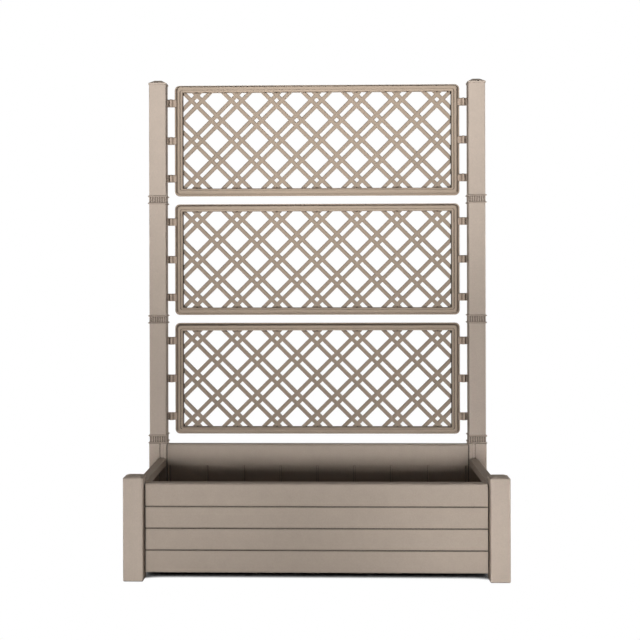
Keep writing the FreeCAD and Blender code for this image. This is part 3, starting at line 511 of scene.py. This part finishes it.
# %% [markdown]
# ## The camera
# The uprights of the picture stay parallel and the horizon lies above its middle, as when a level camera
# is shifted down. The position, the small turn and the shift were fitted to about forty edges: legs,
# board joints, posts, coupler lips and lattice openings.

# %% Set the camera
PICTURE = 640  # pixels across
FOCAL_LENGTH, SHIFT_X, SHIFT_Y = 981.86, 13.7, -43.73  # in pixels
SENSOR = 36.0
EYE = (0.0293, -2.7445, 0.789)
TURN, ROLL = math.radians(1.195), math.radians(-0.139)

camera = bpy.data.objects.new("camera", bpy.data.cameras.new("camera"))
bpy.context.scene.collection.objects.link(camera)
camera.data.sensor_width = SENSOR
camera.data.lens = FOCAL_LENGTH / PICTURE * SENSOR
camera.data.shift_x = SHIFT_X / PICTURE
camera.data.shift_y = SHIFT_Y / PICTURE
camera.data.clip_end = 100.0
level = Matrix.Rotation(TURN, 4, "Z") @ Matrix.Rotation(math.pi / 2, 4, "X")
camera.matrix_world = Matrix.Translation(EYE) @ level @ Matrix.Rotation(ROLL, 4, "Z")
bpy.context.scene.camera = camera
print("lens", round(camera.data.lens, 2))

# %% [markdown]
# ## The studio
# A white sweep without a visible edge: the floor and the world are pure white to the camera. To the
# light that bounces, the floor is a grey-white card and the world is almost dark, so that the lamps give
# the shape. The floor keeps the contact shadow through an occlusion term, which is dark under the box
# and round the feet.

# %% Floor
SHADOW_REACH, SHADOW_SAMPLES = 0.4, 32
SHADOW_RANGE = (0.08, 0.25)  # openness of the floor, from full shadow to none
CARD = (0.55, 0.55, 0.55, 1.0)
FLOOR_HALF = 9


def shown_rays(tree):
    """1 for camera, glossy and transmission rays, and 0 for the rays that carry light about."""
    path = tree.nodes.new("ShaderNodeLightPath").outputs
    shown = math_node(tree, "MAXIMUM", path["Is Camera Ray"], path["Is Glossy Ray"])
    return math_node(tree, "MAXIMUM", shown, path["Is Transmission Ray"])


def sweep_white():
    """White times the contact shadow to the rays that are shown, and a grey-white card to the rest."""
    material = bpy.data.materials.new("sweep_white")
    material.use_nodes = True
    tree = material.node_tree
    tree.nodes.clear()
    near = joined(tree, "ShaderNodeAmbientOcclusion", Distance=SHADOW_REACH)
    near.samples = SHADOW_SAMPLES
    shadow = spread(tree, near.outputs["AO"], *SHADOW_RANGE, 0.0, 1.0)
    seen = joined(tree, "ShaderNodeEmission", Strength=shadow).outputs[0]
    card = joined(tree, "ShaderNodeBsdfDiffuse", Color=CARD).outputs[0]
    mix = joined(tree, "ShaderNodeMixShader", i0=shown_rays(tree), i1=card, i2=seen)
    output = tree.nodes.new("ShaderNodeOutputMaterial")
    tree.links.new(mix.outputs[0], output.inputs["Surface"])
    return material


floor_mesh = bpy.data.meshes.new("studio_floor")
floor_corners = [(x * FLOOR_HALF, y * FLOOR_HALF, 0) for x, y in ((-1, -1), (1, -1), (1, 1), (-1, 1))]
floor_mesh.from_pydata(floor_corners, [], [(0, 1, 2, 3)])
floor_mesh.materials.append(sweep_white())
studio_floor = bpy.data.objects.new("studio_floor", floor_mesh)
bpy.context.scene.collection.objects.link(studio_floor)
print("floor", 2 * FLOOR_HALF, "m across")

# %% World
WHITE = (1, 1, 1, 1)
AIR_LIGHT = 0.05

world = bpy.data.worlds.new("studio")
bpy.context.scene.world = world
world.use_nodes = True
air = world.node_tree
air.nodes.clear()
soft_air = joined(air, "ShaderNodeBackground", Color=WHITE, Strength=AIR_LIGHT).outputs[0]
white_air = joined(air, "ShaderNodeBackground", Color=WHITE, Strength=1.0).outputs[0]
air_mix = joined(air, "ShaderNodeMixShader", i0=shown_rays(air), i1=soft_air, i2=white_air)
air_out = air.nodes.new("ShaderNodeOutputWorld")
air.links.new(air_mix.outputs[0], air_out.inputs["Surface"])
print("world", world.name)

# %% [markdown]
# The picture is lit from the front and from below eye level: faces that look down are pale, faces that
# look up or sideways are dark, and the screen is brighter at its top. So a wide, low key stands by the
# camera, tilted up, with a grid that narrows its beam. A weak fill evens it out, and two small boxes with
# narrow beams light the two ends of the planting box. Lamps behind and at the sides serve the other
# views; they give no sheen, so that the front view keeps its dark edges.

# %% Lights
def soft_box(name, at, target, width, height, power, beam=math.pi, sheen=True):
    """A rectangular area lamp that faces its target, with its light kept inside a beam angle.

    Without `sheen` the lamp lights a surface and isn't mirrored in it.
    """
    lamp = bpy.data.lights.new(name, "AREA")
    lamp.shape = "RECTANGLE"
    lamp.size = width
    lamp.size_y = height
    lamp.energy = power
    lamp.spread = beam
    lamp_object = bpy.data.objects.new(name, lamp)
    lamp_object.visible_glossy = sheen
    bpy.context.scene.collection.objects.link(lamp_object)
    aim = (Vector(target) - Vector(at)).to_track_quat("-Z", "Y").to_matrix().to_4x4()
    lamp_object.matrix_world = Matrix.Translation(at) @ aim
    print("lamp", name, power, "W")


NARROW, KEY_BEAM, BACK_BEAM = math.radians(26), math.radians(50), math.radians(90)
soft_box("key", (0.0, -3.0, 0.42), (0.0, 0.17, 1.48), 1.3, 0.6, 13.0, KEY_BEAM)
soft_box("fill", (0.0, -2.8, 0.50), (0.0, 0.0, 0.60), 1.4, 0.8, 3.6)
soft_box("left_box", (-0.75, -2.5, 0.30), (-0.40, -0.20, 0.06), 0.8, 0.5, 1.15, NARROW)
soft_box("right_box", (0.55, -2.3, 0.30), (0.46, -0.20, 0.07), 0.6, 0.5, 1.05, NARROW)
soft_box("back", (0.0, 3.0, 0.90), (0.0, 0.20, 0.75), 1.6, 1.0, 14.0, BACK_BEAM, sheen=False)
for side, hand in ((-1, "left"), (1, "right")):
    soft_box(f"{hand}_side", (side * 2.4, 0.55, 0.55), (0.0, 0.0, 0.60), 1.0, 1.0, 22.0, sheen=False)

# %% [markdown]
# ## The end

# %% Set the view transform
bpy.context.scene.view_settings.view_transform = "Standard"
